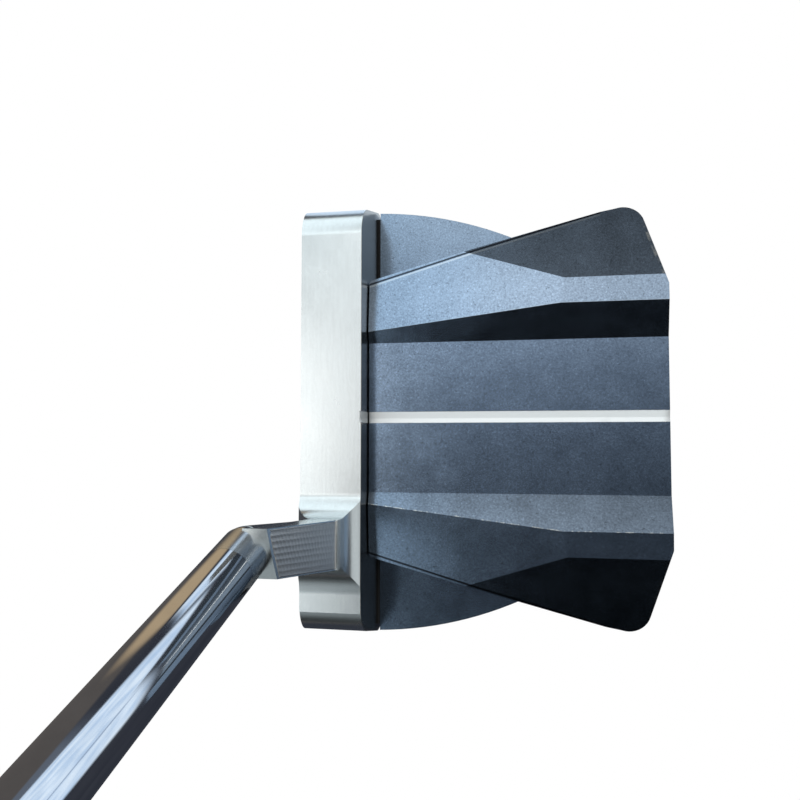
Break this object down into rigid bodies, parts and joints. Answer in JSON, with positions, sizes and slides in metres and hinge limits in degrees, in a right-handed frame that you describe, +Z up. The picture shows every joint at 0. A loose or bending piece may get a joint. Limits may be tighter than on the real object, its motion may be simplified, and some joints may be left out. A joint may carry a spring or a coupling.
{
  "type": "mallet putter",
  "caption": "Right-handed mallet putter: milled steel face bar and flow neck, faceted aluminium wing deck over a round lower flange, over-hosel steel shaft, rubber grip, screw-in sole weights.",
  "frame": {"origin": "middle of the flat sole plate, at address on level ground", "axes": "+Z up from the ground, +X from the striking face toward the back of the head, +Y from heel to toe; the shaft leans up toward the heel side, the player's side"},
  "size_m": [0.1099, 0.3531, 0.8206],
  "materials": {
    "milled_steel": "satin bead-blasted stainless steel, milled",
    "deck_anodised": "dark blue-grey anodised, fine satin speckle",
    "flange_anodised": "dark blue-grey anodised, satin",
    "black_rubber": "matt",
    "white_paint": "paint fill, satin",
    "sole_steel": "satin stainless steel",
    "screw_steel": "plain stainless steel",
    "screw_black": "black oxide",
    "weight_steel": "turned stainless steel",
    "ring_rubber": "matt",
    "shaft_chrome": "bright chrome plate",
    "adhesive": "cured epoxy",
    "tape": "paper backed tape",
    "grip_rubber": "matt black rubber",
    "cap_plastic": "matt black moulded cap"
  },
  "bodies": {
    "club": {"face_bar": "milled_steel", "gasket": "black_rubber", "lower_flange": "flange_anodised", "wing_deck": "deck_anodised", "deck_line_fill": "white_paint", "bar_line_fill": "white_paint", "sole_plate": "sole_steel", "face_screws": "screw_steel", "locating_pins": "screw_steel", "deck_screws": "screw_black", "plate_screws": "screw_steel", "shaft": "shaft_chrome", "shaft_adhesive": "adhesive", "grip_tape": "tape", "grip": "grip_rubber", "grip_cap": "cap_plastic"},
    "toe_ring": {"toe_weight_ring": "ring_rubber"},
    "toe_weight": {"toe_weight": "weight_steel"},
    "heel_ring": {"heel_weight_ring": "ring_rubber"},
    "heel_weight": {"heel_weight": "weight_steel"}
  },
  "joints": [
    {"name": "toe_weight_travel", "type": "slide", "parent": "club", "child": "toe_ring", "axis": [0, 0, -1], "range_m": [0, 0.004]},
    {"name": "toe_weight_turn", "type": "hinge", "parent": "toe_ring", "child": "toe_weight", "pos_m": [0.011, 0.029, 0.004], "axis": [0, 0, -1], "range_deg": [0, 1445]},
    {"name": "heel_weight_travel", "type": "slide", "parent": "club", "child": "heel_ring", "axis": [0, 0, -1], "range_m": [0, 0.004]},
    {"name": "heel_weight_turn", "type": "hinge", "parent": "heel_ring", "child": "heel_weight", "pos_m": [0.011, -0.029, 0.004], "axis": [0, 0, -1], "range_deg": [0, 1445]}
  ],
  "couplings": [
    {"joint": "toe_weight_turn", "follows": "toe_weight_travel", "rad_per_m": 6283.2},
    {"joint": "heel_weight_turn", "follows": "heel_weight_travel", "rad_per_m": 6283.2}
  ]
}
